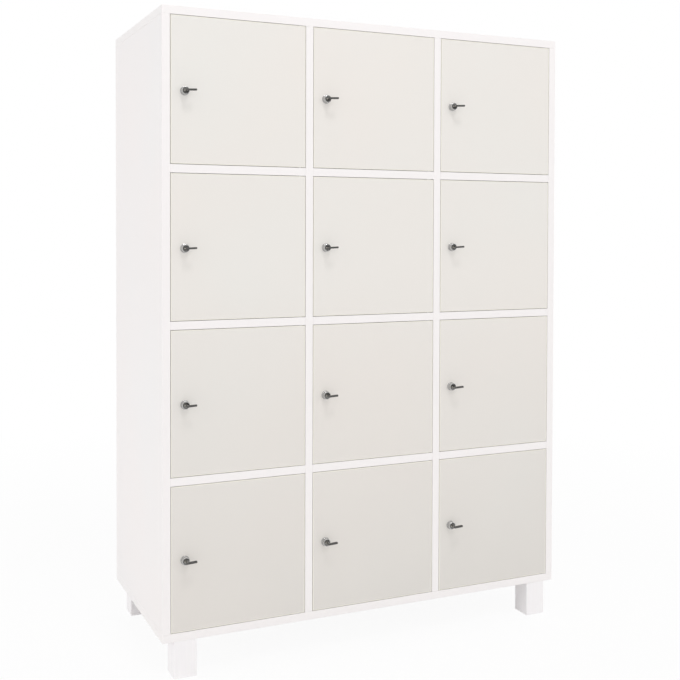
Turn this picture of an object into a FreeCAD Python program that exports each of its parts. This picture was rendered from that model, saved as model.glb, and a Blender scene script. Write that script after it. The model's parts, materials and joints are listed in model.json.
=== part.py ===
import FreeCAD, Part
import os
import re
import Sketcher

# Compartment locker: a board carcass on four legs with a grid of flush doors.
# Every door swings on two pivot pins near its right edge and has a cylinder lock with its key.
# Millimetres, X to the right, Y to the back, Z up.
# The origin is on the floor, in the middle of the box that holds the whole object, keys included.

COLUMNS = 3
ROWS = 4
# A hexagon's corner radius over its flat radius
HEX_CORNER = 2 / 3**0.5

# Driving dimensions
SIZES = {
    # Carcass boards
    "cabinet_width": 1000,
    "cabinet_depth": 450,
    "carcass_height": 1350,
    "board_thickness": 18,
    "edge_radius": 0.8,
    "back_thickness": 5,
    "back_reveal": 1,
    # Legs
    "leg_side": 50,
    "leg_height": 80,
    "leg_side_inset": 25,
    "leg_screw_offset": 12,
    # Clearances
    "door_gap": 1,
    "running_clearance": 0.05,
    "thrust_clearance": 0.2,
    "fit_clearance": 0.05,
    "stop_clearance": 0.3,
    # Doors and their pivots
    "door_thickness": 18,
    "pivot_from_edge": 12,
    "pivot_from_front": 5,
    "pin_diameter": 5,
    "pin_collar_diameter": 9,
    "pin_board_depth": 8,
    "pin_door_depth": 15,
    # Lock housing
    "lock_from_edge": 30,
    "lock_below_middle": 2.5,
    "lock_hole_clearance": 0.25,
    "head_reach": 11,
    "head_wall": 1.65,
    "head_chamfer": 0.8,
    "rose_lip": 1.3,
    "rose_thickness": 2.5,
    "rose_chamfer": 0.8,
    "barrel_wall": 1.95,
    "barrel_length": 27,
    "nut_wall": 3.5,
    "nut_thickness": 4,
    # Lock plug and cam
    "plug_diameter": 12,
    "plug_shoulder": 0.8,
    "shoulder_depth": 3,
    "face_recess": 0.4,
    "tail_side": 7,
    "tail_relief": 0.2,
    "cam_gap": 0.2,
    "cam_thickness": 2,
    "cam_width": 14,
    "cam_corner": 5,
    "cam_wall_clearance": 4,
    "cam_clearance": 0.4,
    "cam_screw_diameter": 4,
    "cam_screw_length": 9,
    "cam_screw_head_diameter": 9,
    "cam_screw_head_height": 2.5,
    # Key with a slim head that is folded to the right; its tilt is in degrees above level
    "key_tilt": 3,
    "key_blade_width": 7.6,
    "key_blade_thickness": 2.2,
    "key_insert": 24,
    "key_tip_chamfer": 2,
    "key_clearance": 0.12,
    "key_neck_width": 4.4,
    "key_neck_reach": 9.5,
    "key_eye_chamfer": 1.4,
    "key_rivet_diameter": 2.4,
    "key_head_width": 6.4,
    "key_head_span": 23.7,
    "key_head_thickness": 4,
    "key_head_corner": 2.8,
    "key_head_edge": 0.8,
    # Strike blocks
    "strike_width": 12,
    "strike_height": 50,
    "strike_edge": 1,
    "strike_screw_spacing": 30,
    # Wood screws and dowels
    "screw_diameter": 3,
    "screw_head_diameter": 6,
    "screw_head_rim": 0.4,
    "screw_point": 3,
    "strike_screw_length": 24,
    "leg_screw_length": 50,
    "back_screw_length": 25,
    "dowel_diameter": 8,
    "dowel_length": 30,
    "dowel_face_depth": 8,
    "dowel_chamfer": 1,
    "dowel_setback": 60,
}

# Dimensions that follow from the driving ones
FORMULAS = {
    "opening_width": f"(cabinet_width - {COLUMNS + 1} * board_thickness) / {COLUMNS}",
    "opening_height": f"(carcass_height - {ROWS + 1} * board_thickness) / {ROWS}",
    "column_pitch": "opening_width + board_thickness",
    "row_pitch": "opening_height + board_thickness",
    "board_depth": "cabinet_depth - back_thickness",
    "upright_height": "carcass_height - 2 * board_thickness",
    "upright_foot": "leg_height + board_thickness",
    "upright_top": "upright_foot + upright_height",
    "door_width": "opening_width - 2 * door_gap",
    "door_height": "opening_height - 2 * door_gap",
    "pin_x": "opening_width - door_gap - pivot_from_edge",
    "pin_radius": "pin_diameter / 2",
    "collar_top": "pin_board_depth + door_gap - thrust_clearance",
    "pin_length": "pin_board_depth + door_gap + pin_door_depth",
    "lock_x": "door_gap + lock_from_edge",
    "lock_z": "opening_height / 2 - lock_below_middle",
    "plug_radius": "plug_diameter / 2",
    "bore_radius": "plug_radius + running_clearance",
    "shoulder_radius": "plug_radius + plug_shoulder",
    "shoulder_bore": "shoulder_radius + running_clearance",
    "head_radius": "shoulder_bore + head_wall",
    "rose_radius": "head_radius + rose_lip",
    "rose_front": "head_reach - rose_thickness",
    "barrel_radius": "bore_radius + barrel_wall",
    "barrel_end": "head_reach + barrel_length",
    "plug_end": "barrel_end + cam_gap",
    "cam_back": "plug_end + cam_thickness",
    "cam_reach": "lock_x - cam_wall_clearance",
    "cam_screw_radius": "cam_screw_diameter / 2",
    "cam_screw_tip": "cam_back - cam_screw_length",
    "key_pivot": "key_neck_reach + key_head_width / 2",
    "key_root": "key_pivot + key_neck_width / 2",
    "key_blade_length": "key_root + face_recess + key_insert",
    "key_left": "(key_blade_width - key_neck_width) / 2",
    "key_right": "(key_blade_width + key_neck_width) / 2",
    "key_outer_end": "key_neck_reach + key_head_width",
    "strike_front": "door_thickness + stop_clearance",
    "strike_depth": "barrel_length + cam_gap - cam_clearance - strike_front",
    "dowel_edge_depth": "dowel_length - dowel_face_depth",
    "front_plane": "(head_reach + key_outer_end - cabinet_depth) / 2",
}

doc = FreeCAD.newDocument("compartment_locker")
sheet = doc.addObject("Spreadsheet::Sheet", "sizes")
for line, (alias, number) in enumerate(SIZES.items(), start=1):
    sheet.set(f"A{line}", alias)
    sheet.set(f"B{line}", str(number))
    sheet.setAlias(f"B{line}", alias)
doc.recompute()

# Turns that point a piece made along Y in another direction
ALONG_Y = FreeCAD.Rotation()
TO_FRONT = FreeCAD.Rotation(FreeCAD.Vector(0, 0, 1), 180)
TO_LEFT = FreeCAD.Rotation(FreeCAD.Vector(0, 0, 1), 90)
TO_RIGHT = FreeCAD.Rotation(FreeCAD.Vector(0, 0, 1), -90)
TO_TOP = FreeCAD.Rotation(FreeCAD.Vector(1, 0, 0), 90)
TO_BOTTOM = FreeCAD.Rotation(FreeCAD.Vector(1, 0, 0), -90)
# The turn of a lock that isn't quite level in its door; the angle follows the sheet
TILTED = FreeCAD.Rotation(FreeCAD.Vector(0, -1, 0), SIZES["key_tilt"])
# The turn that points a cylinder or prism, made along Z, along Y
Z_TO_Y = FreeCAD.Rotation(FreeCAD.Vector(1, 0, 0), -90)


def expression(text):
    """Write out the derived names in a formula and point the rest at the sheet's cells."""

    def name(match):
        word = match.group()
        if word in FORMULAS:
            return f"({expression(FORMULAS[word])})"
        return f"sizes.{word}"

    return re.sub(r"[a-z_]+", name, text)


def bind(item, **formulas):
    """Tie properties to formulas."""
    for prop, text in formulas.items():
        item.setExpression(prop, expression(text))


def move(item, x="", y="", z="", turn=ALONG_Y):
    """Turn an object and tie its place to formulas."""
    item.Placement = FreeCAD.Placement(FreeCAD.Vector(), turn)
    for axis, text in (("x", x), ("y", y), ("z", z)):
        if text:
            item.setExpression(f"Placement.Base.{axis}", expression(text))
    return item


def copies(label, pieces):
    """One object that holds the given pieces where they stand."""
    group = doc.addObject("Part::Compound", label)
    group.Links = pieces
    return group


def copy(piece, label, **place):
    """A second piece of the same shape in another place."""
    return move(copies(label, [piece]), **place)


def cut(label, piece, tool):
    """A piece with the tool's shape taken out."""
    item = doc.addObject("Part::Cut", label)
    item.Base = piece
    item.Tool = tool
    return item


def block(body, kind, label, length, width, height, **place):
    """Add or take away a box in a body."""
    box = body.newObject(f"PartDesign::{kind}", label)
    bind(box, Length=length, Width=width, Height=height)
    return move(box, **place)


def round_edges(body, base, radius, direction=None):
    """Round all the edges of a body's feature, or only the straight ones along a direction."""
    doc.recompute()
    rounding = body.newObject("PartDesign::Fillet", f"{body.Name}_rounding")
    if direction is None:
        rounding.Base = (base, [""])
        rounding.UseAllEdges = True
    else:
        names = []
        for number, edge in enumerate(base.Shape.Edges, start=1):
            span = edge.Vertexes[-1].Point - edge.Vertexes[0].Point
            if span.Length > 0 and abs(span.normalize().dot(direction)) > 0.999:
                names.append(f"Edge{number}")
        rounding.Base = (base, names)
    bind(rounding, Radius=radius)
    return rounding


def board(label, length, width, height, radius="edge_radius", **place):
    """A board or block with softened edges."""
    body = doc.addObject("PartDesign::Body", label)
    blank = block(body, "AdditiveBox", f"{label}_blank", length, width, height)
    round_edges(body, blank, radius)
    return move(body, **place)


def outline(body, points):
    """A closed outline on the body's XY plane; each corner is tied to two formulas, '' is on the axis."""
    sketch = body.newObject("Sketcher::SketchObject", f"{body.Name}_outline")
    plane = [item for item in body.Origin.OriginFeatures if item.Role == "XY_Plane"][0]
    sketch.AttachmentSupport = (plane, "")
    sketch.MapMode = "FlatFace"
    corners = []
    for x, y in points:
        numbers = [sheet.evalExpression(expression(text)) if text else 0 for text in (x, y)]
        corners.append(FreeCAD.Vector(*numbers, 0))
    last = len(corners) - 1
    for spot, corner in enumerate(corners):
        following = corners[0 if spot == last else spot + 1]
        sketch.addGeometry(Part.LineSegment(corner, following), False)
    for spot in range(len(corners)):
        following = 0 if spot == last else spot + 1
        sketch.addConstraint(Sketcher.Constraint("Coincident", spot, 2, following, 1))
    for spot, (texts, corner) in enumerate(zip(points, corners)):
        for way, axis, text, number in (("X", -2, texts[0], corner.x), ("Y", -1, texts[1], corner.y)):
            if text:
                rule = sketch.addConstraint(Sketcher.Constraint(f"Distance{way}", -1, 1, spot, 1, number))
                sketch.renameConstraint(rule, f"corner{spot}{way}")
                sketch.setExpression(f"Constraints.corner{spot}{way}", expression(text))
            else:
                sketch.addConstraint(Sketcher.Constraint("PointOnObject", spot, 1, axis))
    return sketch


def turned(label, points):
    """A body turned about Y from corners given as radius and distance along Y."""
    body = doc.addObject("PartDesign::Body", label)
    sketch = outline(body, points)
    doc.recompute()
    turn = body.newObject("PartDesign::Revolution", f"{label}_turn")
    turn.Profile = sketch
    turn.ReferenceAxis = (sketch, ["V_Axis"])
    turn.Angle = 360
    return body


def rod(label, radius, start, end):
    """A plain round bar about Y."""
    return turned(label, [("", start), (radius, start), (radius, end), ("", end)])


def screw(label, length, clearance="0"):
    """A countersunk wood screw along Y with its head at the origin, or the hole for it."""
    head = f"screw_head_diameter / 2 + {clearance}"
    shank = f"screw_diameter / 2 + {clearance}"
    neck = "screw_head_rim + (screw_head_diameter - screw_diameter) / 2"
    end = f"{length} + {clearance}"
    points = [("", ""), (head, ""), (head, "screw_head_rim"), (shank, neck)]
    points += [(shank, f"{end} - screw_point"), ("", end)]
    return turned(label, points)


def column_left(column):
    """Where a compartment's left wall stands."""
    return f"board_thickness - cabinet_width / 2 + {column} * column_pitch"


def row_floor(row):
    """Where a compartment's floor lies; row 0 is the top one."""
    return f"upright_foot + {ROWS - 1 - row} * row_pitch"


def upright_middle(number):
    """The middle of an upright board, counted from the left."""
    return f"(board_thickness - cabinet_width) / 2 + {number} * column_pitch"


def in_compartments(piece, rows=range(ROWS)):
    """Copies of a piece, made in one compartment's own frame, for the compartments of these rows."""
    return [
        copy(piece, f"{piece.Name}_{row + 1}{column + 1}", x=column_left(column), z=row_floor(row))
        for row in rows
        for column in range(COLUMNS)
    ]


def on_uprights(piece):
    """Copies of a piece for every upright board."""
    return [copy(piece, f"{piece.Name}_{n + 1}", x=upright_middle(n)) for n in range(COLUMNS + 1)]


nodes = []


def node(item, label, x="", z="", lift="0", turn=ALONG_Y):
    """Hand a finished object in under its name, moved from the front plane to the part's frame."""
    item.Label = label
    nodes.append(move(item, x=x, y=f"front_plane - {lift}", z=z, turn=turn))


# Fasteners and pins, with the holes that take them
dowel = turned("dowel", [
    ("", ""),
    ("dowel_diameter / 2 - dowel_chamfer", ""),
    ("dowel_diameter / 2", "dowel_chamfer"),
    ("dowel_diameter / 2", "dowel_length - dowel_chamfer"),
    ("dowel_diameter / 2 - dowel_chamfer", "dowel_length"),
    ("", "dowel_length"),
])
dowel_hole = rod("dowel_hole", "dowel_diameter / 2 + fit_clearance", "", "dowel_length")
strike_screw = screw("strike_screw", "strike_screw_length")
strike_screw_hole = screw("strike_screw_hole", "strike_screw_length", "fit_clearance")
leg_screw = screw("leg_screw", "leg_screw_length")
leg_screw_hole = screw("leg_screw_hole", "leg_screw_length", "fit_clearance")
back_screw = screw("back_screw", "back_screw_length")
back_screw_hole = screw("back_screw_hole", "back_screw_length", "fit_clearance")
pin = turned("pin", [
    ("", ""),
    ("pin_radius", ""),
    ("pin_radius", "pin_board_depth"),
    ("pin_collar_diameter / 2", "pin_board_depth"),
    ("pin_collar_diameter / 2", "collar_top"),
    ("pin_radius", "collar_top"),
    ("pin_radius", "pin_length"),
    ("", "pin_length"),
])
pin_seat = rod("pin_seat", "pin_radius + fit_clearance", "", "pin_board_depth")
pin_bore_end = "pin_length + thrust_clearance"
pin_bore = rod("pin_bore", "pin_radius + running_clearance", "pin_board_depth", pin_bore_end)


# Sets of fasteners that stand in one compartment, on one upright or on one leg
def shelf_dowels(piece):
    """Two dowels at each end of the shelf under a compartment."""
    middle = "-board_thickness / 2"
    far = "opening_width - dowel_edge_depth"
    spots = []
    for y in ("dowel_setback", "board_depth - dowel_setback"):
        spots.append(copy(piece, f"{piece.Name}_left", x="dowel_edge_depth", y=y, z=middle, turn=TO_LEFT))
        spots.append(copy(piece, f"{piece.Name}_right", x=far, y=y, z=middle, turn=TO_RIGHT))
    return copies(f"{piece.Name}_shelf_set", spots)


def upright_dowels(piece):
    """Three dowels at the top and three at the foot of an upright."""
    foot = "upright_foot + dowel_edge_depth"
    top = "upright_top - dowel_edge_depth"
    spots = []
    for y in ("dowel_setback", "board_depth / 2", "board_depth - dowel_setback"):
        spots.append(copy(piece, f"{piece.Name}_foot", y=y, z=foot, turn=TO_BOTTOM))
        spots.append(copy(piece, f"{piece.Name}_top", y=y, z=top, turn=TO_TOP))
    return copies(f"{piece.Name}_upright_set", spots)


def pivot_pair(piece):
    """A pin below and a pin above a door, or the holes for them."""
    axis = {"x": "pin_x", "y": "pivot_from_front"}
    below = copy(piece, f"{piece.Name}_below", z="-pin_board_depth", turn=TO_TOP, **axis)
    above = copy(piece, f"{piece.Name}_above", z="opening_height + pin_board_depth", turn=TO_BOTTOM, **axis)
    return copies(f"{piece.Name}_pair", [below, above])


def strike_screws(piece):
    """The two screws that hold a strike block to the wall."""
    middle = "strike_front + strike_depth / 2"
    heights = {"upper": "lock_z + strike_screw_spacing / 2", "lower": "lock_z - strike_screw_spacing / 2"}
    pair = [
        copy(piece, f"{piece.Name}_{way}", x="strike_width", y=middle, z=height, turn=TO_LEFT)
        for way, height in heights.items()
    ]
    return copies(f"{piece.Name}_pair", pair)


def back_screws(piece):
    """A screw through the back into an upright at the middle of every row."""
    column = []
    for row in range(ROWS):
        height = f"{row_floor(row)} + opening_height / 2"
        column.append(copy(piece, f"{piece.Name}_row{row + 1}", y="cabinet_depth", z=height, turn=TO_FRONT))
    return copies(f"{piece.Name}_set", column)


def leg_screws(piece):
    """Two screws down through the bottom board into a leg, set across a diagonal."""
    pair = [
        copy(piece, f"{piece.Name}_{way}", x=offset, y=offset, z="upright_foot", turn=TO_BOTTOM)
        for way, offset in (("front", "-leg_screw_offset"), ("rear", "leg_screw_offset"))
    ]
    return copies(f"{piece.Name}_pair", pair)


def on_legs(piece):
    """Copies of a piece, made about a leg's middle line, for the four legs."""
    across = "cabinet_width / 2 - leg_side_inset - leg_side / 2"
    rear = "board_depth - leg_side / 2"
    return [
        copy(piece, f"{piece.Name}_{end}_{side}", x=f"{sign}({across})", y=y)
        for end, y in (("front", "leg_side / 2"), ("rear", rear))
        for side, sign in (("left", "-"), ("right", ""))
    ]


lower_rows = range(ROWS - 1)
shelf_holes = copies("shelf_holes", in_compartments(shelf_dowels(dowel_hole), lower_rows))
upright_holes = copies("upright_holes", on_uprights(upright_dowels(dowel_hole)))
pin_seats = copies("pin_seats", in_compartments(pivot_pair(pin_seat)))
strike_holes = copies("strike_holes", in_compartments(strike_screws(strike_screw_hole)))
leg_holes = copies("leg_holes", on_legs(leg_screws(leg_screw_hole)))
back_holes = copies("back_holes", on_uprights(back_screws(back_screw_hole)))
upright_cuts = copies("upright_cuts", [shelf_holes, upright_holes, strike_holes, back_holes])

# Carcass boards
side = board(
    "side", "board_thickness", "board_depth", "upright_height",
    x="-board_thickness / 2", z="upright_foot",
)
uprights = on_uprights(side)
node(cut("left_side_cut", uprights[0], upright_cuts), "side_left")
node(cut("right_side_cut", uprights[-1], upright_cuts), "side_right")
node(cut("dividers_cut", copies("divider_pair", uprights[1:-1]), upright_cuts), "dividers")

end_board = board("end_board", "cabinet_width", "board_depth", "board_thickness", x="-cabinet_width / 2")
top_blank = copy(end_board, "top_blank", z="upright_top")
node(cut("top_cut", top_blank, copies("top_cuts", [upright_holes, pin_seats])), "top_panel")
bottom_blank = copy(end_board, "bottom_blank", z="leg_height")
bottom_cuts = copies("bottom_cuts", [upright_holes, pin_seats, leg_holes])
node(cut("bottom_cut", bottom_blank, bottom_cuts), "bottom_panel")

shelf = board("shelf", "opening_width", "board_depth", "board_thickness", z="-board_thickness")
shelf_blanks = copies("shelf_blanks", in_compartments(shelf, lower_rows))
node(cut("shelves_cut", shelf_blanks, copies("shelf_cuts", [shelf_holes, pin_seats])), "shelves")

back = board(
    "back", "cabinet_width - 2 * back_reveal", "back_thickness", "carcass_height - 2 * back_reveal",
    x="back_reveal - cabinet_width / 2", y="board_depth", z="leg_height + back_reveal",
)
node(cut("back_cut", back, back_holes), "back_panel")

# Legs
leg = board("leg", "leg_side", "leg_side", "leg_height", x="-leg_side / 2", y="-leg_side / 2")
node(cut("legs_cut", copies("leg_blanks", on_legs(leg)), leg_holes), "legs")

# Strike blocks on the compartments' left walls
strike_blank = board(
    "strike_blank", "strike_width", "strike_depth", "strike_height", radius="strike_edge",
    y="strike_front", z="lock_z - strike_height / 2",
)
strike = cut("strike", strike_blank, strike_screws(strike_screw_hole))
node(copies("strike_set", in_compartments(strike)), "strike_blocks")

# Fasteners and pins that stay with the carcass
dowel_rows = in_compartments(shelf_dowels(dowel), lower_rows) + on_uprights(upright_dowels(dowel))
node(copies("dowel_rows", dowel_rows), "dowels")
screw_rows = in_compartments(strike_screws(strike_screw)) + on_legs(leg_screws(leg_screw))
screw_rows += on_uprights(back_screws(back_screw))
node(copies("screw_rows", screw_rows), "screws")
node(copies("pin_rows", in_compartments(pivot_pair(pin))), "hinge_pins")

# Door panel, in its compartment's own frame
door_blank = board("door_blank", "door_width", "door_thickness", "door_height", x="door_gap", z="door_gap")
lock_hole = rod("lock_hole", "barrel_radius + lock_hole_clearance", "", "door_thickness")
move(lock_hole, x="lock_x", z="lock_z")
door = cut("door", door_blank, copies("door_cuts", [lock_hole, pivot_pair(pin_bore)]))

# Lock housing and its nut; the lock's own frame has the middle of the head's face at its origin
housing = turned("housing", [
    ("shoulder_bore", ""),
    ("head_radius - head_chamfer", ""),
    ("head_radius", "head_chamfer"),
    ("head_radius", "rose_front"),
    ("rose_radius - rose_chamfer", "rose_front"),
    ("rose_radius", "rose_front + rose_chamfer"),
    ("rose_radius", "head_reach"),
    ("barrel_radius", "head_reach"),
    ("barrel_radius", "barrel_end"),
    ("bore_radius", "barrel_end"),
    ("bore_radius", "shoulder_depth"),
    ("shoulder_bore", "shoulder_depth"),
])
nut_blank = doc.addObject("Part::Prism", "nut_blank")
nut_blank.Polygon = 6
bind(nut_blank, Circumradius=f"(barrel_radius + nut_wall) * {HEX_CORNER}", Height="nut_thickness")
move(nut_blank, y="head_reach + door_thickness", turn=Z_TO_Y)
nut_hole = rod("nut_hole", "barrel_radius + fit_clearance", "head_reach", "barrel_end + nut_thickness")
lock_housing = copies("lock_housing", [housing, cut("nut", nut_blank, nut_hole)])

# Lock plug with its keyway and square tail, the cam on the tail and the cam's screw
plug = turned("plug", [
    ("", "face_recess"),
    ("shoulder_radius", "face_recess"),
    ("shoulder_radius", "shoulder_depth - thrust_clearance"),
    ("plug_radius", "shoulder_depth - thrust_clearance"),
    ("plug_radius", "plug_end"),
    ("", "plug_end"),
])
block(
    plug, "AdditiveBox", "plug_tail", "tail_side", "cam_thickness - tail_relief", "tail_side",
    x="-tail_side / 2", y="plug_end", z="-tail_side / 2",
)
block(
    plug, "SubtractiveBox", "keyway",
    "key_blade_width + 2 * key_clearance", "face_recess + key_insert + key_clearance",
    "key_blade_thickness + 2 * key_clearance",
    x="-key_blade_width / 2 - key_clearance", z="-key_blade_thickness / 2 - key_clearance",
)
cam_screw_hole = rod(
    "cam_screw_hole", "cam_screw_radius + fit_clearance", "cam_screw_tip - fit_clearance", "cam_back",
)
cam = doc.addObject("PartDesign::Body", "cam")
cam_blank = block(
    cam, "AdditiveBox", "cam_blank", "cam_width", "cam_thickness", "cam_reach + cam_width / 2",
    x="-cam_width / 2", y="plug_end", z="-cam_reach",
)
round_edges(cam, cam_blank, "cam_corner", FreeCAD.Vector(0, 1, 0))
block(
    cam, "SubtractiveBox", "cam_hole",
    "tail_side + 2 * fit_clearance", "cam_thickness", "tail_side + 2 * fit_clearance",
    x="-tail_side / 2 - fit_clearance", y="plug_end", z="-tail_side / 2 - fit_clearance",
)
cam_screw = turned("cam_screw", [
    ("", "cam_screw_tip"),
    ("cam_screw_radius", "cam_screw_tip"),
    ("cam_screw_radius", "cam_back"),
    ("cam_screw_head_diameter / 2", "cam_back"),
    ("cam_screw_head_diameter / 2", "cam_back + cam_screw_head_height"),
    ("", "cam_back + cam_screw_head_height"),
])
lock_plug = copies("lock_plug", [cut("drilled_plug", plug, cam_screw_hole), cam, cam_screw])

# Key: a flat blade with an eye on its neck, and a moulded head riveted to the eye and folded to the right
key_rivet = rod("key_rivet", "key_rivet_diameter / 2", "-key_head_thickness / 2", "key_head_thickness / 2")
move(key_rivet, y="-(key_pivot)", turn=TO_TOP)
blade = doc.addObject("PartDesign::Body", "blade")
blade_outline = outline(blade, [
    ("key_left + key_eye_chamfer", ""),
    ("key_right - key_eye_chamfer", ""),
    ("key_right", "key_eye_chamfer"),
    ("key_right", "key_root"),
    ("key_blade_width", "key_root"),
    ("key_blade_width", "key_blade_length - key_tip_chamfer"),
    ("key_blade_width - key_tip_chamfer", "key_blade_length"),
    ("key_tip_chamfer", "key_blade_length"),
    ("", "key_blade_length - key_tip_chamfer"),
    ("", "key_root"),
    ("key_left", "key_root"),
    ("key_left", "key_eye_chamfer"),
])
doc.recompute()
blade_pad = blade.newObject("PartDesign::Pad", "blade_pad")
blade_pad.Profile = blade_outline
bind(blade_pad, Length="key_blade_thickness")
move(blade, x="-key_blade_width / 2", y="-(key_root)", z="-key_blade_thickness / 2")
key_head = doc.addObject("PartDesign::Body", "key_head")
key_head_blank = block(
    key_head, "AdditiveBox", "key_head_blank", "key_head_span", "key_head_width", "key_head_thickness",
    x="-key_head_width / 2", y="-(key_outer_end)", z="-key_head_thickness / 2",
)
key_head_corners = round_edges(key_head, key_head_blank, "key_head_corner", FreeCAD.Vector(0, 0, 1))
round_edges(key_head, key_head_corners, "key_head_edge")
slotted_head = cut("slotted_head", key_head, copies("head_cuts", [blade, key_rivet]))
key = copies("key", [slotted_head, cut("pierced_blade", blade, key_rivet), key_rivet])

# One door, lock housing, lock plug and key for every compartment, named by row and column
for row in range(ROWS):
    for column in range(COLUMNS):
        spot = f"r{row + 1}c{column + 1}"
        left = column_left(column)
        floor = row_floor(row)
        node(copies(f"door_at_{spot}", [door]), f"door_{spot}", left, floor)
        for piece, label in ((lock_housing, "lock_housing"), (lock_plug, "lock_plug"), (key, "key")):
            item = copies(f"{label}_at_{spot}", [piece])
            node(item, f"{label}_{spot}", f"{left} + lock_x", f"{floor} + lock_z", "head_reach", TILTED)
            bind(item, **{"Placement.Rotation.Angle": "key_tilt"})

doc.recompute()

for item in doc.Objects:
    if "Invalid" in item.State or "Error" in item.State:
        raise RuntimeError(f"{item.Label} failed to build")
for item in nodes:
    if item.Shape.isNull() or not item.Shape.isValid():
        raise RuntimeError(f"{item.Label} has no valid shape")

os.makedirs("parts", exist_ok=True)
for item in nodes:
    solids = item.Shape.Solids
    shape = solids[0] if len(solids) == 1 else Part.makeCompound(solids)
    shape.exportStep(f"parts/{item.Label}.step")
print(f"{len(nodes)} nodes, {sum(len(item.Shape.Solids) for item in nodes)} solids")
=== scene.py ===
import json
import math

import bmesh
import bpy
from bpy.props import FloatProperty, FloatVectorProperty, PointerProperty
from bpy.types import Operator, Panel, PropertyGroup
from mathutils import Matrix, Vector

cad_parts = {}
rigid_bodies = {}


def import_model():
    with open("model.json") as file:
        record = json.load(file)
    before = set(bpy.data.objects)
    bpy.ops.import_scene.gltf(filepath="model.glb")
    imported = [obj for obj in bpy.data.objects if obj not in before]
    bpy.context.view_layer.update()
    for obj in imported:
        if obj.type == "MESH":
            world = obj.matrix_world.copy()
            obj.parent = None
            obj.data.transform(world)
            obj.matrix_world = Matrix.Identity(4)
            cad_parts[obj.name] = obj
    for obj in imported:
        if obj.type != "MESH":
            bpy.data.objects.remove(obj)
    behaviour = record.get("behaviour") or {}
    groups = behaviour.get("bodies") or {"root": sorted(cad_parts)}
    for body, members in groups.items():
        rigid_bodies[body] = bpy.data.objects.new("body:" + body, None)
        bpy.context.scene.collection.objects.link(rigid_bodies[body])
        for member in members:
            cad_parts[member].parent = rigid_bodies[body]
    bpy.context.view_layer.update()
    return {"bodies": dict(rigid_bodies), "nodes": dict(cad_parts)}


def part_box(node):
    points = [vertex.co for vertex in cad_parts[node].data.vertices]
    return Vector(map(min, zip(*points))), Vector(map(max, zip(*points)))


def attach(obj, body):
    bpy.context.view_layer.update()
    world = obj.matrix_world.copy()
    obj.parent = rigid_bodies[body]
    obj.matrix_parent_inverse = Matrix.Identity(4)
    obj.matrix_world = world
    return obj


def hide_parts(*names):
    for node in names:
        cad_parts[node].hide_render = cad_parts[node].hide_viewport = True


bl_info = {
    "name": "Compartment Locker",
    "version": (1, 0, 0),
    "blender": (4, 5, 0),
    "location": "3D View > Sidebar > Locker",
    "description": "Finishes a board locker and models its locks, keys and screws",
    "category": "Object",
}

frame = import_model()

MM = 0.001
FIT = 0.05 * MM  # room between pieces that fit together
SEAM = 0.12 * MM  # half the width of a glued joint's line
SPOTS = sorted(body.removeprefix("lock_") for body in frame["bodies"] if body.startswith("lock_"))
BOARDS = ("side_left", "side_right", "dividers", "top_panel", "bottom_panel", "shelves")
FIRST_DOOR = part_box("door_r1c1")
NEXT_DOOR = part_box("door_r2c2")
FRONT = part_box("side_left")[0].y
DOOR_SIZE = FIRST_DOOR[1] - FIRST_DOOR[0]
COLUMN_PITCH = NEXT_DOOR[0].x - FIRST_DOOR[0].x
ROW_PITCH = FIRST_DOOR[0].z - NEXT_DOOR[0].z


# Settings
def length(name, description, millimetres):
    """A length setting; its default is given in millimetres."""
    return FloatProperty(
        name=name, description=description, default=millimetres * MM, min=0, precision=5,
        subtype="DISTANCE", unit="LENGTH",
    )


def colour(name, description, default):
    """A colour setting."""
    return FloatVectorProperty(
        name=name, description=description, default=(*default, 1), size=4, min=0, max=1, subtype="COLOR",
    )


def share(name, description, default):
    """A setting from none to all."""
    return FloatProperty(name=name, description=description, default=default, min=0, max=1, subtype="FACTOR")


def spot_in_room(name, description, default):
    """A place on the stage, in metres."""
    return FloatVectorProperty(
        name=name, description=description, default=default, subtype="TRANSLATION", unit="LENGTH",
    )


def metres(name, description, default):
    """A length on the stage, in metres."""
    return FloatProperty(
        name=name, description=description, default=default, min=0, subtype="DISTANCE", unit="LENGTH",
    )


def power(name, description, watts):
    """The power of a lamp."""
    return FloatProperty(name=name, description=description, default=watts, min=0, unit="POWER")


def strength(name, description, default):
    """A brightness, where 1 is white."""
    return FloatProperty(name=name, description=description, default=default, min=0)


class LockerFinishes(PropertyGroup):
    """Colours and sheen of the locker's surfaces"""

    board: colour("Boards", "White laminate of the carcass boards", (0.925, 0.893, 0.888))
    door: colour("Doors", "Warm off-white laminate of the doors", (0.848, 0.814, 0.775))
    door_band: colour("Door Bands", "Edge bands of the doors", (0.90, 0.875, 0.79))
    back: colour("Back", "Paint of the fibreboard back", (0.86, 0.85, 0.835))
    legs: colour("Legs", "Paint of the wooden legs", (0.965, 0.942, 0.948))
    strike: colour("Strike Blocks", "Nylon of the strike blocks", (0.84, 0.83, 0.79))
    beech: colour("Dowels", "Pale wood of the dowels", (0.58, 0.40, 0.23))
    steel: colour("Steel", "Zinc plated screws, pins and cams", (0.56, 0.56, 0.55))
    chrome: colour("Lock Chrome", "Plating of the lock bodies", (0.47, 0.468, 0.464))
    plug: colour("Lock Plug", "Dark satin metal of the lock plugs", (0.2, 0.197, 0.192))
    key_head: colour("Key Head", "Dark moulding of the key heads", (0.06, 0.057, 0.054))
    key_blade: colour("Key Blade", "Nickel of the key blades", (0.60, 0.58, 0.54))
    laminate_roughness: share("Laminate Roughness", "Sheen of the boards and doors", 0.42)
    band_width: length("Band Thickness", "Thickness of the glued edge bands", 2)
    # Painted shade: how far the doors are darkened towards the floor, in place of light that falls off lower
    # down.
    door_painted_shade: share("Door Painted Shade", "How far the doors are soiled towards the floor", 0.55)


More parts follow.
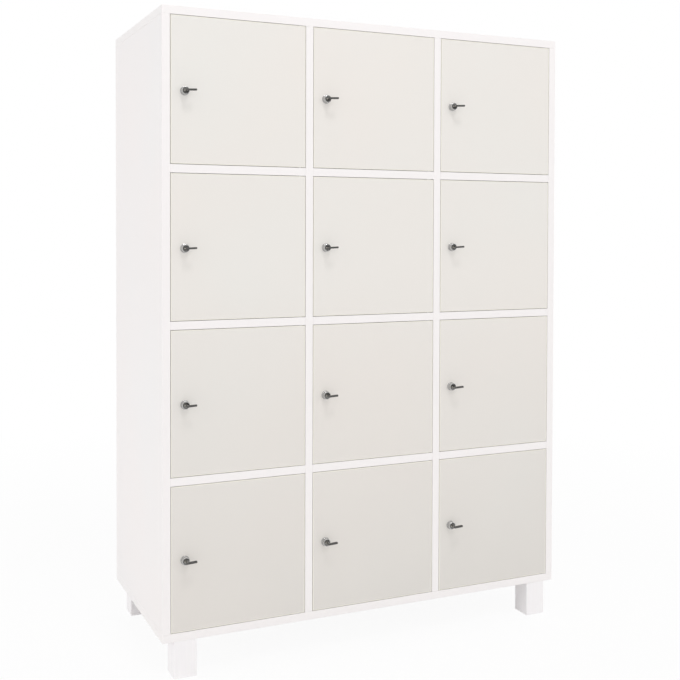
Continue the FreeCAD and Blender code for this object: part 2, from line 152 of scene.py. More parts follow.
class LockerLock(PropertyGroup):
    """Sizes of the cylinder locks, measured back from the middle of the head's face"""

    tilt: FloatProperty(
        name="Tilt", description="How far a lock is turned from level",
        default=math.radians(3), subtype="ANGLE", unit="ROTATION",
    )
    head_radius: length("Head Radius", "Radius of the lock's head", 8.5)
    head_reach: length("Head Reach", "How far the head stands out of the door", 11)
    mouth_radius: length("Mouth Radius", "Radius of the opening in the head", 6.85)
    mouth_depth: length("Mouth Depth", "Depth of the opening in the head", 3)
    rose_radius: length("Rose Radius", "Radius of the ring that lies on the door", 9.8)
    rose_thickness: length("Rose Thickness", "Thickness of that ring", 2.5)
    barrel_radius: length("Barrel Radius", "Outer radius of the threaded barrel", 8)
    bore_radius: length("Bore Radius", "Inner radius of the barrel", 6.05)
    barrel_end: length("Barrel End", "Where the barrel ends", 38)
    thread_pitch: length("Thread Pitch", "Spacing of the thread's turns", 1)
    nut_flat: length("Nut Size", "Half the nut's width across its flats", 11.5)
    nut_thickness: length("Nut Thickness", "Thickness of the nut", 4)
    plug_face: length("Plug Face", "How deep the plug's face lies in the head", 0.4)
    plug_shoulder: length("Plug Shoulder", "Radius of the plug's front", 6.8)
    plug_radius: length("Plug Radius", "Radius of the plug", 6)
    keyway_width: length("Keyway Width", "Long side of the key's slot", 7.84)
    keyway_height: length("Keyway Height", "Short side of the key's slot", 2.44)
    keyway_depth: length("Keyway Depth", "Depth of the key's slot", 24.5)
    tail_side: length("Tail Side", "Side of the square tail that turns the cam", 7)
    cam_start: length("Cam Start", "Where the cam begins", 38.2)
    cam_thickness: length("Cam Thickness", "Thickness of the cam", 2)
    cam_width: length("Cam Width", "Width of the cam", 14)
    cam_reach: length("Cam Reach", "How far the cam reaches from the lock's axis", 27)
    cam_corner: length("Cam Corner", "Corner radius of the cam", 5)
    screw_head: length("Cam Screw Head", "Radius of the cam screw's head", 4.5)
    screw_height: length("Cam Screw Height", "Height of the cam screw's head", 2.5)
    screw_radius: length("Cam Screw Radius", "Radius of the cam screw's shank", 2)
    screw_length: length("Cam Screw Length", "Length of the cam screw's shank", 9)


class LockerKey(PropertyGroup):
    """Sizes of the keys, in the lock's own frame"""

    blade_width: length("Blade Width", "Width of the blade", 7.6)
    blade_thickness: length("Blade Thickness", "Thickness of the blade", 2.2)
    blade_end: length("Blade End", "Where the blade's tip lies in the lock", 24.4)
    neck_width: length("Neck Width", "Width of the neck between blade and head", 4.4)
    neck_end: length("Neck End", "Where the neck's eye ends in front of the lock", 14.9)
    cut_spacing: length("Cut Spacing", "Spacing of the cuts in the blade's edges", 3.5)
    groove_width: length("Groove Width", "Width of the groove along the blade", 1.6)
    groove_depth: length("Groove Depth", "Depth of the groove along the blade", 0.35)
    head_left: length("Head Left", "Left end of the folded head from the axis", 3.2)
    head_right: length("Head Right", "Right end of the folded head from the axis", 20.5)
    head_near: length("Head Near Side", "Side of the head next to the lock", 9.5)
    head_far: length("Head Far Side", "Side of the head away from the lock", 15.9)
    head_thickness: length("Head Thickness", "Thickness of the head", 4)
    head_corner: length("Head Corner", "Corner radius of the head", 2.8)
    head_edge: length("Head Edge", "Edge radius of the head", 0.8)
    rivet_radius: length("Rivet Radius", "Radius of the rivet", 1.2)
    ring_hole: length("Ring Hole", "Radius of the hole for a key ring", 1.4)


class LockerScrews(PropertyGroup):
    """Sizes and places of the wood screws"""

    head_radius: length("Head Radius", "Radius of the countersunk head", 3)
    head_rim: length("Head Rim", "Height of the head's straight rim", 0.4)
    shank_radius: length("Shank Radius", "Radius of the shank", 1.5)
    point: length("Point", "Length of the point", 3)
    strike_length: length("Strike Screw", "Length of the screws in the strike blocks", 24)
    strike_width: length("Strike Width", "How far a strike block stands out of the wall", 12)
    strike_depth: length("Strike Depth", "Depth of a strike block", 8.5)
    strike_clearance: length("Strike Clearance", "Room between a door and its strike block", 0.3)
    strike_spacing: length("Strike Spacing", "Distance between a block's two screws", 30)
    leg_length: length("Leg Screw", "Length of the screws in the legs", 50)
    leg_side: length("Leg Side", "Side of a leg's square", 50)
    leg_offset: length("Leg Offset", "Place of a leg's screws from its middle", 12)
    back_length: length("Back Screw", "Length of the screws in the back", 25)
    recess: length("Recess", "Depth of the cross recess", 1.5)


class LockerStage(PropertyGroup):
    """Camera and light"""

    camera_place: spot_in_room("Camera Place", "Where the camera stands", (-1.0548, -2.3251, 0.9577))
    camera_turn: FloatVectorProperty(
        name="Camera Turn", description="How the camera is turned",
        default=(math.pi / 2 - 0.0219, -0.0025, -0.4236), subtype="EULER", unit="ROTATION",
    )
    lens: FloatProperty(
        name="Lens", description="Focal length in millimetres", default=54.29, min=1, unit="CAMERA",
    )
    shift_x: FloatProperty(name="Shift X", description="Sideways shift of the frame", default=0.00778)
    shift_y: FloatProperty(name="Shift Y", description="Upward shift of the frame", default=-0.12805)
    floor_radius: metres("Floor Radius", "Radius of the floor", 40)
    sky_low: strength("Low Sky", "Strength of the light from all round", 1.235)
    sky_high: strength("High Sky", "Strength of the light from overhead", 0.52)
    front_power: power("Front Lamp Power", "Power of the lamp in front", 28)
    front_place: spot_in_room("Front Lamp Place", "Where the lamp in front hangs", (-0.2, -2.2, 4.2))
    front_side: metres("Front Lamp Side", "Side of the front lamp's square", 0.7)
    left_power: power("Left Lamp Power", "Power of the lamp on the left", 4)
    left_place: spot_in_room("Left Lamp Place", "Where the lamp on the left stands", (-2.6, -0.4, 0.9))
    left_side: metres("Left Lamp Side", "Side of the left lamp's square", 1.6)
    panel_glow: strength("Panel Glow", "Brightness of the ceiling panel that only gloss shows", 2.5)
    panel_place: spot_in_room("Panel Place", "Where the ceiling panel hangs", (0, -1.0, 2.9))
    panel_side: metres("Panel Side", "Side of the ceiling panel's square", 1.3)


# Modelling steps
def only(piece):
    """Select one object alone."""
    bpy.ops.object.select_all(action="DESELECT")
    piece.select_set(True)
    bpy.context.view_layer.objects.active = piece


def named(name):
    """Name the object that was just added."""
    piece = bpy.context.object
    piece.name = name
    piece.data.name = name
    return piece


def choose(kind, test):
    """In edit mode, select the vertices, edges or faces that pass a test."""
    bpy.ops.mesh.select_mode(type=kind)
    bpy.ops.mesh.select_all(action="DESELECT")
    mesh = bpy.context.edit_object.data
    shape = bmesh.from_edit_mesh(mesh)
    for part in {"VERT": shape.verts, "EDGE": shape.edges, "FACE": shape.faces}[kind]:
        if test(part):
            part.select_set(True)
    bmesh.update_edit_mesh(mesh)


def drawn(name, corners):
    """A chain of edges through corners on the XY plane, left in edit mode and all selected."""
    bpy.ops.object.select_all(action="DESELECT")
    bpy.ops.mesh.primitive_plane_add(size=2 * MM, enter_editmode=True)
    piece = named(name)
    choose("VERT", lambda vertex: vertex.index > 0)
    bpy.ops.mesh.delete(type="VERT")
    choose("VERT", lambda vertex: True)
    pen = Vector((-MM, -MM, 0))
    for number, corner in enumerate(corners):
        step = Vector((*corner, 0)) - pen
        if number == 0:
            bpy.ops.transform.translate(value=step)
        else:
            bpy.ops.mesh.extrude_region_move(TRANSFORM_OT_translate={"value": step})
        pen += step
    bpy.ops.mesh.select_all(action="SELECT")
    return piece


def close_up():
    """Merge doubles and point the faces outwards in edit mode, then leave it."""
    bpy.ops.mesh.select_all(action="SELECT")
    bpy.ops.mesh.remove_doubles(threshold=MM / 1000)
    bpy.ops.mesh.normals_make_consistent(inside=False)
    bpy.ops.object.mode_set(mode="OBJECT")


def turned(name, corners, steps):
    """A piece spun round the Y axis from corners given as radius and distance along Y."""
    piece = drawn(name, corners)
    bpy.ops.mesh.spin(steps=steps, angle=math.tau, center=(0, 0, 0), axis=(0, 1, 0))
    close_up()
    return piece


def plate(name, corners, thickness):
    """A flat piece cut to an outline on the XY plane, as thick above it as below."""
    piece = drawn(name, corners)
    bpy.ops.mesh.edge_face_add()
    bpy.ops.transform.translate(value=(0, 0, -thickness / 2))
    bpy.ops.mesh.extrude_region_move(TRANSFORM_OT_translate={"value": (0, 0, thickness)})
    close_up()
    return piece


def block(name, low, high):
    """A box between two corners."""
    low, high = Vector(low), Vector(high)
    bpy.ops.object.select_all(action="DESELECT")
    bpy.ops.mesh.primitive_cube_add(size=1, location=(low + high) / 2, scale=high - low)
    bpy.ops.object.transform_apply(location=True, rotation=True, scale=True)
    return named(name)


def bevel(piece, test, offset, segments):
    """Round the edges that pass a test."""
    only(piece)
    bpy.ops.object.mode_set(mode="EDIT")
    choose("EDGE", test)
    bpy.ops.mesh.bevel(offset=offset, segments=segments, affect="EDGES", clamp_overlap=True)
    bpy.ops.object.mode_set(mode="OBJECT")


def ring(radius, distance):
    """A test for the edges of one ring of a turned piece."""

    def test(edge):
        return all(
            abs(math.hypot(vertex.co.x, vertex.co.z) - radius) < MM / 100
            and abs(vertex.co.y - distance) < MM / 100
            for vertex in edge.verts
        )

    return test


def running(axis):
    """A test for the edges that run along an axis."""
    return lambda edge: abs(edge.verts[0].co[axis] - edge.verts[1].co[axis]) > MM


def level(axis):
    """A test for the edges that lie across an axis."""
    return lambda edge: abs(edge.verts[0].co[axis] - edge.verts[1].co[axis]) < MM / 100


def combine(piece, tool, operation="DIFFERENCE"):
    """Cut, join or crop a piece with a tool, which is used up."""
    only(piece)
    bpy.ops.object.modifier_add(type="BOOLEAN")
    change = piece.modifiers[-1]
    change.operation = operation
    change.solver = "EXACT"
    change.object = tool
    bpy.ops.object.modifier_apply(modifier=change.name)
    bpy.data.objects.remove(tool)


def turn_to_z(piece):
    """Stand a piece made along Y upright along Z."""
    only(piece)
    piece.rotation_euler.x = math.pi / 2
    bpy.ops.object.transform_apply(location=True, rotation=True, scale=True)
    return piece


def shift(piece, step):
    """Move a piece and keep its place in its mesh."""
    only(piece)
    piece.location = step
    bpy.ops.object.transform_apply(location=True, rotation=True, scale=True)
    return piece


def cross_recess(piece, face, towards, radius, depth):
    """Press a cross recess into a head that faces along Y; towards is the side the metal lies on."""
    wing_half = radius * 0.22
    taper = (0.45, 1, 0.7)
    for turn in (0, math.pi / 2):
        wing = block("recess", (-radius, face - depth, -wing_half), (radius, face + depth, wing_half))
        bpy.ops.object.mode_set(mode="EDIT")
        choose("FACE", lambda part: part.normal.y * towards > 0.9)
        bpy.ops.transform.resize(value=taper, center_override=(0, face + towards * depth, 0))
        bpy.ops.object.mode_set(mode="OBJECT")
        only(wing)
        wing.rotation_euler.y = turn
        bpy.ops.object.transform_apply(location=True, rotation=True, scale=True)
        combine(piece, wing)


def smooth(piece, degrees=35):
    """Shade a piece smooth up to an angle."""
    only(piece)
    bpy.ops.object.shade_smooth_by_angle(angle=math.radians(degrees))


def dress(piece, finish):
    """Give a piece one finish."""
    piece.data.materials.clear()
    piece.data.materials.append(finish)


def lock_middle(spot):
    """The middle of a lock's face."""
    low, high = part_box(f"lock_housing_{spot}")
    centre = (low + high) / 2
    return Vector((centre.x, low.y, centre.z))


def fit_to_locks(pattern, finish, body, node):
    """Copy a piece that was made in the lock's own frame into every lock."""
    smooth(pattern)
    dress(pattern, finish)
    tilt = bpy.context.scene.locker_lock.tilt
    for spot in SPOTS:
        only(pattern)
        bpy.ops.object.duplicate()
        piece = named(f"{pattern.name}_{spot}")
        piece.rotation_euler.y = -tilt
        piece.location = lock_middle(spot)
        bpy.ops.object.transform_apply(location=True, rotation=True, scale=True)
        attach(piece, f"{body}_{spot}")
        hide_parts(f"{node}_{spot}")
    bpy.data.objects.remove(pattern)


# Finishes
class Nodes:
    """A node tree while its nodes are being joined up."""

    def __init__(self, tree):
        self.tree = tree

    def add(self, kind, inputs=None, **settings):
        """Add a node; an input is a number, a colour or another node's output."""
        node = self.tree.nodes.new(kind)
        for key, value in settings.items():
            setattr(node, key, value)
        for key, value in (inputs or {}).items():
            if isinstance(value, bpy.types.NodeSocket):
                self.tree.links.new(value, node.inputs[key])
            else:
                node.inputs[key].default_value = value
        return node

    def sums(self, operation, *values):
        """One step of arithmetic."""
        return self.add("ShaderNodeMath", dict(enumerate(values)), operation=operation).outputs[0]

    def graded(self, value, low, high, start=0.0, end=1.0):
        """A value's range moved to another one."""
        inputs = {"Value": value, "From Min": start, "From Max": end, "To Min": low, "To Max": high}
        return self.add("ShaderNodeMapRange", inputs).outputs[0]

    def seen(self):
        """1 for what the camera, gloss and glass show, 0 for scattered light."""
        ray = self.add("ShaderNodeLightPath").outputs
        shown = self.sums("ADD", ray["Is Camera Ray"], ray["Is Glossy Ray"])
        inputs = {0: shown, 1: ray["Is Transmission Ray"]}
        return self.add("ShaderNodeMath", inputs, operation="ADD", use_clamp=True).outputs[0]


class Finish(Nodes):
    """A material in the making."""

    def __init__(self, name):
        self.material = bpy.data.materials.new(name)
        self.material.use_nodes = True
        super().__init__(self.material.node_tree)
        self.shader = self.tree.nodes["Principled BSDF"]
        self.place = self.add("ShaderNodeTexCoord").outputs["Object"]

    def axes(self):
        """The X, Y and Z of a point."""
        return self.add("ShaderNodeSeparateXYZ", {0: self.place}).outputs

    def stretched(self, scale, turn=(0, 0, 0)):
        """The coordinates scaled differently along each axis."""
        inputs = {"Vector": self.place, "Scale": scale, "Rotation": turn}
        return self.add("ShaderNodeMapping", inputs).outputs[0]

    def noise(self, scale, detail, place=None, roughness=0.5):
        """Cloudy values from 0 to 1."""
        inputs = {"Vector": place or self.place, "Scale": scale, "Detail": detail, "Roughness": roughness}
        return self.add("ShaderNodeTexNoise", inputs).outputs["Fac"]

    def mixed(self, factor, first, second):
        """Two colours mixed."""
        inputs = {0: factor, 6: first, 7: second}
        return self.add("ShaderNodeMix", inputs, data_type="RGBA").outputs[2]

    def bumped(self, height, strength, distance, under=None):
        """A surface raised by a height."""
        inputs = {"Height": height, "Strength": strength, "Distance": distance}
        if under:
            inputs["Normal"] = under
        return self.add("ShaderNodeBump", inputs).outputs[0]

    def set(self, **inputs):
        """Join outputs to the shader's sockets, or set numbers and colours on them."""
        for name, value in inputs.items():
            socket = self.shader.inputs[name.replace("_", " ").title()]
            if isinstance(value, bpy.types.NodeSocket):
                self.tree.links.new(value, socket)
            else:
                socket.default_value = value
        return self.material


def shade(colour, amount):
    """A colour made lighter or darker."""
    return (*(min(1, part * amount) for part in colour[:3]), 1)


def tint(colour, red, green, blue):
    """A colour with its parts changed."""
    return (colour[0] * red, colour[1] * green, colour[2] * blue, 1)


def laminate(name, base, roughness, band_colour, band, seam, painted_shade=0.0):
    """Satin laminate with a pearl texture; band and seam mark the glued edge bands and their joints, and a
    share of painted shade darkens it towards the floor.
    """
    # Heights in metres between which the painted shade goes from full at the foot to none at the top.
    painted_shade_foot, painted_shade_top = 0.1, 0.86
    made = Finish(name)
    band, seam = band(made), seam(made)
    cloud = made.noise(2.2, 2)
    speck = made.noise(620, 3, roughness=0.6)
    pearl = made.noise(950, 2, roughness=0.55)
    warm, cool = tint(base, 1.006, 0.994, 0.988), tint(base, 0.988, 1.002, 1.004)
    speck_tone = shade(base, 0.955)
    # The darker tone of the painted shade.
    shaded = tint(base, 0.80, 0.795, 0.785)
    glue_line = shade(band_colour, 0.55)
    tone = made.mixed(made.graded(cloud, 0, 1, 0.3, 0.7), warm, cool)
    tone = made.mixed(made.graded(speck, 0, 0.5, 0.52, 0.75), tone, speck_tone)
    # Painted shade: the doors grow darker towards the floor, in uneven patches, in place of light falling off
    # lower down.
    if painted_shade:
        low = made.graded(made.axes()[2], painted_shade, 0, painted_shade_foot, painted_shade_top)
        low = made.sums("MULTIPLY", low, made.graded(made.noise(3.5, 4), 0.7, 1.3))
        tone = made.mixed(low, tone, shaded)
    tone = made.mixed(band, tone, band_colour)
    tone = made.mixed(made.sums("MULTIPLY", seam, 0.45), tone, glue_line)
    gloss = made.graded(pearl, roughness - 0.06, roughness + 0.08)
    gloss = made.sums("SUBTRACT", gloss, made.sums("MULTIPLY", band, 0.08))
    relief = made.bumped(made.sums("SUBTRACT", pearl, seam), 0.12, 0.15 * MM)
    return made.set(base_color=tone, roughness=gloss, normal=relief)


def board_finish(settings):
    """White laminate with a band along the front edges."""
    joint = FRONT + settings.band_width

    def band(made):
        return made.sums("LESS_THAN", made.axes()[1], joint)

    def seam(made):
        return made.sums("COMPARE", made.axes()[1], joint, SEAM)

    band_colour = shade(settings.board, 1.015)
    return laminate("white_board", settings.board, settings.laminate_roughness, band_colour, band, seam)


def door_finish(settings):
    """Off-white laminate with bands on all four edges of every door."""

    def from_edge(made):
        """How far a point is from its door's nearest edge."""
        near = []
        margin = 5 * MM
        low = FIRST_DOOR[0]
        for axis, pitch in ((0, COLUMN_PITCH), (2, ROW_PITCH)):
            start = low[axis] - margin
            value = made.sums("WRAP", made.axes()[axis], start + pitch, start)
            value = made.sums("SUBTRACT", value, low[axis])
            near.append(made.sums("PINGPONG", value, DOOR_SIZE[axis] / 2))
        return made.sums("MINIMUM", *near)

    def band(made):
        return made.sums("LESS_THAN", from_edge(made), settings.band_width)

    def seam(made):
        return made.sums("COMPARE", from_edge(made), settings.band_width, SEAM)

    return laminate(
        "door_board", settings.door, settings.laminate_roughness, settings.door_band, band, seam,
        settings.door_painted_shade,
    )


def back_finish(settings):
    """Thinly painted fibreboard with short fibres showing through."""
    made = Finish("back_board")
    fibre = made.noise(60, 4, made.stretched((1, 1, 9)), 0.65)
    fleck = made.noise(420, 3, made.stretched((3, 1, 1)), 0.6)
    tone = made.mixed(made.graded(fibre, 0, 1, 0.35, 0.7), shade(settings.back, 0.97), settings.back)
    tone = made.mixed(made.graded(fleck, 0, 0.6, 0.58, 0.8), tone, tint(settings.back, 0.93, 0.9, 0.84))
    relief = made.bumped(fleck, 0.2, 0.12 * MM)
    return made.set(base_color=tone, roughness=made.graded(fleck, 0.5, 0.68), normal=relief)


def leg_finish(settings):
    """White paint over upright wood grain."""
    made = Finish("leg_paint")
    grain = made.noise(260, 5, made.stretched((1, 1, 0.045)), 0.65)
    peel = made.noise(700, 2)
    tone = made.mixed(made.graded(grain, 0, 1, 0.35, 0.75), settings.legs, shade(settings.legs, 0.965))
    relief = made.bumped(grain, 0.16, 0.3 * MM, made.bumped(peel, 0.1, 0.1 * MM))
    return made.set(base_color=tone, roughness=made.graded(grain, 0.34, 0.46), normal=relief)


def nylon_finish(settings):
    """Waxy nylon with a fine moulded grain."""
    made = Finish("strike_nylon")
    grain = made.noise(1500, 2)
    cloud = made.noise(70, 2)
    tone = made.mixed(cloud, shade(settings.strike, 0.97), shade(settings.strike, 1.02))
    relief = made.bumped(grain, 0.15, 0.08 * MM)
    return made.set(
        base_color=tone, roughness=made.graded(grain, 0.38, 0.52), normal=relief, subsurface_weight=0.12,
        subsurface_scale=2 * MM,
    )


def beech_finish(settings):
    """Plain beech with short dark rays."""
    made = Finish("dowel_beech")
    grain = made.noise(240, 4, made.stretched((0.12, 1, 1)), 0.6)
    ray = made.noise(900, 2, made.stretched((0.2, 1, 1)))
    tone = made.mixed(grain, shade(settings.beech, 0.86), shade(settings.beech, 1.1))
    tone = made.mixed(made.graded(ray, 0, 0.7, 0.6, 0.75), tone, shade(settings.beech, 0.62))
    relief = made.bumped(ray, 0.2, 0.1 * MM)
    return made.set(base_color=tone, roughness=made.graded(grain, 0.5, 0.65), normal=relief)


def metal_finish(name, base, roughness, wear):
    """Plated metal with hairlines, faint clouds and handling marks."""
    made = Finish(name)
    cloud = made.noise(180, 3)
    hair = made.noise(900, 3, made.stretched((1, 0.2, 6), (0, 0.6, 0.4)), 0.65)
    mark = made.graded(made.noise(340, 5, roughness=0.7), 0, 1, 0.56, 0.72)
    tone = made.mixed(cloud, shade(base, 0.94), shade(base, 1.06))
    tone = made.mixed(made.sums("MULTIPLY", mark, wear), tone, shade(base, 0.72))
    gloss = made.graded(hair, roughness - 0.04, roughness + 0.07)
    gloss = made.sums("ADD", gloss, made.sums("MULTIPLY", mark, wear * 0.3))
    relief = made.bumped(hair, 0.05, 0.02 * MM)
    return made.set(base_color=tone, roughness=gloss, normal=relief, metallic=1)


def key_head_finish(settings):
    """Dark moulding with a spark grain, rubbed lighter in patches."""
    made = Finish("key_black")
    grain = made.noise(2600, 2)
    rub = made.graded(made.noise(240, 4, roughness=0.65), 0, 0.7, 0.5, 0.8)
    tone = made.mixed(rub, settings.key_head, shade(settings.key_head, 2.2))
    relief = made.bumped(grain, 0.25, 0.06 * MM)
    return made.set(base_color=tone, roughness=made.graded(grain, 0.38, 0.55), normal=relief)


def floor_finish():
    """A white floor that keeps the locker's soft shadow and fades into the white surroundings."""
    least_white, fade_start, fade_end = 0.92, 1.0, 2.6
    dusty, clean = (0.92, 0.92, 0.92, 1), (0.94, 0.94, 0.94, 1)
    made = Finish("floor")
    made.set(base_color=made.mixed(made.noise(1.5, 2), dusty, clean), roughness=0.9)
    white = made.add("ShaderNodeEmission", {"Color": (1, 1, 1, 1), "Strength": 1})
    far = made.add("ShaderNodeVectorMath", {0: made.place}, operation="LENGTH").outputs["Value"]
    cover = made.sums("MULTIPLY", made.seen(), made.graded(far, least_white, 1, fade_start, fade_end))
    mix = made.add("ShaderNodeMixShader", {0: cover, 1: made.shader.outputs[0], 2: white.outputs[0]})
    made.tree.links.new(mix.outputs[0], made.tree.nodes["Material Output"].inputs["Surface"])
    return made.material


# Pieces
class LOCKER_OT_boards(Operator):
    """Finish the carcass boards in white laminate"""

    bl_idname = "locker.boards"
    bl_label = "Carcass Boards"

    def execute(self, context):
        finish = board_finish(context.scene.locker_finishes)
        for name in BOARDS:
            dress(frame["nodes"][name], finish)
        return {"FINISHED"}


class LOCKER_OT_doors(Operator):
    """Finish the doors in off-white laminate"""

    bl_idname = "locker.doors"
    bl_label = "Doors"

    def execute(self, context):
        finish = door_finish(context.scene.locker_finishes)
        for spot in SPOTS:
            dress(frame["nodes"][f"door_{spot}"], finish)
        return {"FINISHED"}


class LOCKER_OT_back_and_legs(Operator):
    """Paint the back panel and the legs"""

    bl_idname = "locker.back_and_legs"
    bl_label = "Back and Legs"

    def execute(self, context):
        finishes = context.scene.locker_finishes
        dress(frame["nodes"]["back_panel"], back_finish(finishes))
        dress(frame["nodes"]["legs"], leg_finish(finishes))
        return {"FINISHED"}


class LOCKER_OT_fittings(Operator):
    """Finish the strike blocks, dowels and hinge pins"""

    bl_idname = "locker.fittings"
    bl_label = "Fittings"

    def execute(self, context):
        finishes = context.scene.locker_finishes
        dress(frame["nodes"]["strike_blocks"], nylon_finish(finishes))
        dress(frame["nodes"]["dowels"], beech_finish(finishes))
        dress(frame["nodes"]["hinge_pins"], metal_finish("pin_steel", finishes.steel, 0.3, 0.4))
        return {"FINISHED"}


class LOCKER_OT_lock_bodies(Operator):
    """Turn the lock bodies: head, rose and threaded barrel"""

    bl_idname = "locker.lock_bodies"
    bl_label = "Lock Bodies"

    def execute(self, context):
        lock = context.scene.locker_lock
        root = lock.barrel_radius - 0.45 * MM
        end_radius = lock.barrel_radius - 0.6 * MM
        neck_radius = lock.barrel_radius - 0.4 * MM
        seat = lock.head_reach - lock.rose_thickness
        corners = [
            (lock.mouth_radius, 0),
            (lock.head_radius, 0),
            (lock.head_radius, seat),
            (lock.rose_radius, seat),
            (lock.rose_radius, lock.head_reach),
            (neck_radius, lock.head_reach),
        ]
        # The thread shows behind the door; its turns are rings
        turns = round((lock.barrel_end - lock.head_reach) / lock.thread_pitch) - 2
        thread = lock.head_reach + lock.thread_pitch
        for turn in range(turns):
            start = thread + turn * lock.thread_pitch
            corners.append((root, start))
            corners.append((lock.barrel_radius, start + lock.thread_pitch * 0.4))
            corners.append((lock.barrel_radius, start + lock.thread_pitch * 0.6))
        corners += [
            (root, thread + turns * lock.thread_pitch),
            (end_radius, lock.barrel_end),
            (lock.bore_radius, lock.barrel_end),
            (lock.bore_radius, lock.mouth_depth),
            (lock.mouth_radius, lock.mouth_depth),
            (lock.mouth_radius, 0),
        ]
        body = turned("lock_body", corners, 64)
        # Radius and distance of each ring, its rounding in millimetres and the steps of that
        for radius, distance, rounding, steps in (
            (lock.head_radius, 0, 1.35, 7),
            (lock.mouth_radius, 0, 0.25, 2),
            (lock.head_radius, seat, 0.5, 3),
            (lock.rose_radius, seat, 0.75, 5),
            (lock.rose_radius, lock.head_reach, 0.15, 2),
        ):
            bevel(body, ring(radius, distance), rounding * MM, steps)
        finish = metal_finish("lock_chrome", context.scene.locker_finishes.chrome, 0.16, 0.25)
        fit_to_locks(body, finish, "door", "lock_housing")
        return {"FINISHED"}


class LOCKER_OT_lock_nuts(Operator):
    """Make the hexagon nuts that hold the locks in the doors"""

    bl_idname = "locker.lock_nuts"
    bl_label = "Lock Nuts"

    def execute(self, context):
        lock = context.scene.locker_lock
        start = lock.head_reach + DOOR_SIZE.y
        end = start + lock.nut_thickness
        corner = lock.nut_flat / math.cos(math.pi / 6)
        outside = corner + 0.2 * MM
        chamfer = 1.1 * MM
        hexagon = [
            (corner * math.cos(math.tau * n / 6), corner * math.sin(math.tau * n / 6)) for n in range(6)
        ]
        nut = turn_to_z(plate("lock_nut", hexagon, lock.nut_thickness))
        shift(nut, (0, (start + end) / 2, 0))
        dome = turned("dome", [
            (0, start),
            (lock.nut_flat, start),
            (outside, start + chamfer),
            (outside, end - chamfer),
            (lock.nut_flat, end),
            (0, end),
        ], 96)
        combine(nut, dome, "INTERSECT")
        inner = lock.barrel_radius + FIT
        mouth = inner + 1.7 * MM
        lead = 0.7 * MM
        bore = turned("bore", [
            (0, start - MM),
            (mouth, start - MM),
            (inner, start + lead),
            (inner, end - lead),
            (mouth, end + MM),
            (0, end + MM),
        ], 64)
        combine(nut, bore)
        finish = metal_finish("nut_steel", context.scene.locker_finishes.steel, 0.3, 0.4)
        fit_to_locks(nut, finish, "door", "lock_housing")
        return {"FINISHED"}


class LOCKER_OT_lock_plugs(Operator):
    """Make the lock plugs with a keyway in front and a square tail behind"""

    bl_idname = "locker.lock_plugs"
    bl_label = "Lock Plugs"

    def execute(self, context):
        lock = context.scene.locker_lock
        face = lock.plug_face
        shoulder = lock.plug_shoulder
        step = lock.mouth_depth - 0.2 * MM
        dish = 0.25 * MM
        # A raised ring and a groove round the dished face, as insets and depths in millimetres
        rim = ((2.6, 0.2), (1.5, 0), (0.9, 0), (0.7, 0.3), (0.4, 0.3), (0.2, 0.1), (0, 0.35))
        plug = turned("lock_core", [
            (0, face + dish),
            *((shoulder - inset * MM, face + depth * MM) for inset, depth in rim),
            (shoulder, step),
            (lock.plug_radius, step),
            (lock.plug_radius, lock.cam_start),
            (0, lock.cam_start),
        ], 64)
        half = lock.tail_side / 2
        tail_end = lock.cam_start + 1.8 * MM
        tail = block("tail", (-half, lock.cam_start - MM, -half), (half, tail_end, half))
        bevel(tail, running(1), 0.5 * MM, 3)
        combine(plug, tail, "UNION")
        wide, high = lock.keyway_width / 2, lock.keyway_height / 2
        keyway = block("keyway", (-wide, -MM, -high), (wide, lock.keyway_depth, high))
        bevel(keyway, running(1), 0.3 * MM, 2)
        combine(plug, keyway)
        # A shallow funnel guides the key in
        funnel_depth, spread = 0.9 * MM, (1.3, 1, 1.9)
        funnel = block("funnel", (-wide, -MM, -high), (wide, face + funnel_depth, high))
        bpy.ops.object.mode_set(mode="EDIT")
        choose("FACE", lambda part: part.normal.y < -0.9)
        bpy.ops.transform.resize(value=spread, center_override=(0, -MM, 0))
        bpy.ops.object.mode_set(mode="OBJECT")
        combine(plug, funnel)
        hole = lock.screw_radius + FIT
        back = lock.cam_start + lock.cam_thickness
        tip = back - lock.screw_length
        combine(plug, turned("hole", [(0, tip), (hole, tip), (hole, back), (0, back)], 32))
        finish = metal_finish("plug_steel", context.scene.locker_finishes.plug, 0.24, 0.4)
        fit_to_locks(plug, finish, "lock", "lock_plug")
        return {"FINISHED"}


class LOCKER_OT_cams(Operator):
    """Make the cams that turn behind the strike blocks, and their screws"""

    bl_idname = "locker.cams"
    bl_label = "Cams"

    def execute(self, context):
        lock = context.scene.locker_lock
        start, back = lock.cam_start, lock.cam_start + lock.cam_thickness
        half = lock.cam_width / 2
        cam = block("lock_cam", (-half, start, -lock.cam_reach), (half, back, half))
        bevel(cam, running(1), lock.cam_corner, 10)
        bevel(cam, level(1), 0.3 * MM, 2)
        eye = lock.tail_side / 2 + FIT
        combine(cam, block("eye", (-eye, start - MM, -eye), (eye, back + MM, eye)))
        steel = metal_finish("cam_steel", context.scene.locker_finishes.steel, 0.28, 0.5)
        fit_to_locks(cam, steel, "lock", "lock_plug")
        top = back + lock.screw_height
        tip = back - lock.screw_length
        tip_radius = lock.screw_radius - 0.5 * MM
        tip_height = 0.6 * MM
        screw = turned("cam_screw", [
            (0, tip),
            (tip_radius, tip),
            (lock.screw_radius, tip + tip_height),
            (lock.screw_radius, back),
            (lock.screw_head, back),
            (lock.screw_head, top),
            (0, top),
        ], 40)
        bevel(screw, ring(lock.screw_head, top), 1.5 * MM, 5)
        bevel(screw, ring(lock.screw_head, back), 0.15 * MM, 2)
        recess_radius, recess_depth = 2.3 * MM, 1.5 * MM
        cross_recess(screw, top, -1, recess_radius, recess_depth)
        fit_to_locks(screw, steel, "lock", "lock_plug")
        return {"FINISHED"}


